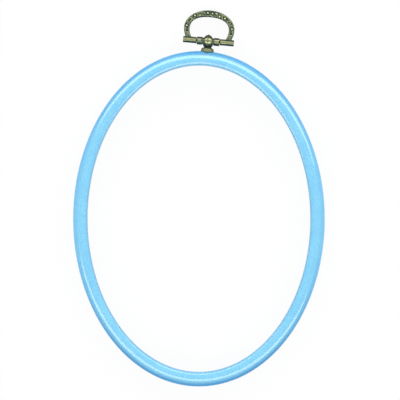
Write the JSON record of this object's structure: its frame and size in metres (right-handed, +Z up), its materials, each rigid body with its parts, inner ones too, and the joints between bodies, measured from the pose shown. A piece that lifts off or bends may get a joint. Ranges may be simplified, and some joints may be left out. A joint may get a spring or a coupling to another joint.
{
  "type": "embroidery hoop",
  "caption": "Oval flexible embroidery hoop: a soft outer hoop snapped over a rigid inner hoop, with a cast swinging bail to hang it by.",
  "frame": {"origin": "middle of the whole object's box, on the surface that it lies on", "axes": "+Z up out of the hoop's front face, +Y from the opening's middle towards the hanger's end of the long axis, +X to the right seen from the front"},
  "size_m": [0.1146, 0.1714, 0.0095],
  "materials": {
    "soft_vinyl": "soft blue vinyl, smooth and glossy, faintly mottled",
    "rigid_plastic": "rigid blue plastic, satin",
    "antique_brass": "cast brass with a dark patina in the recesses and bright worn high places",
    "dark_brass": "dark drawn brass wire",
    "plated_steel": "zinc plated"
  },
  "bodies": {
    "inner": {"inner_hoop": "rigid_plastic"},
    "outer": {"outer_hoop": "soft_vinyl", "hanger_post": "antique_brass", "post_screw": "plated_steel", "post_washer": "plated_steel"},
    "bail": {"bail": "antique_brass", "hinge_pin": "dark_brass"}
  },
  "joints": [
    {"name": "hoop_lift", "type": "slide", "parent": "inner", "child": "outer", "axis": [0, 0, 1], "range_m": [0, 0.015]},
    {"name": "bail_swing", "type": "hinge", "parent": "outer", "child": "bail", "pos_m": [0.0042, 0.07141, 0.00475], "axis": [0.9962, -0.0872, 0], "range_deg": [-122, 156]}
  ]
}
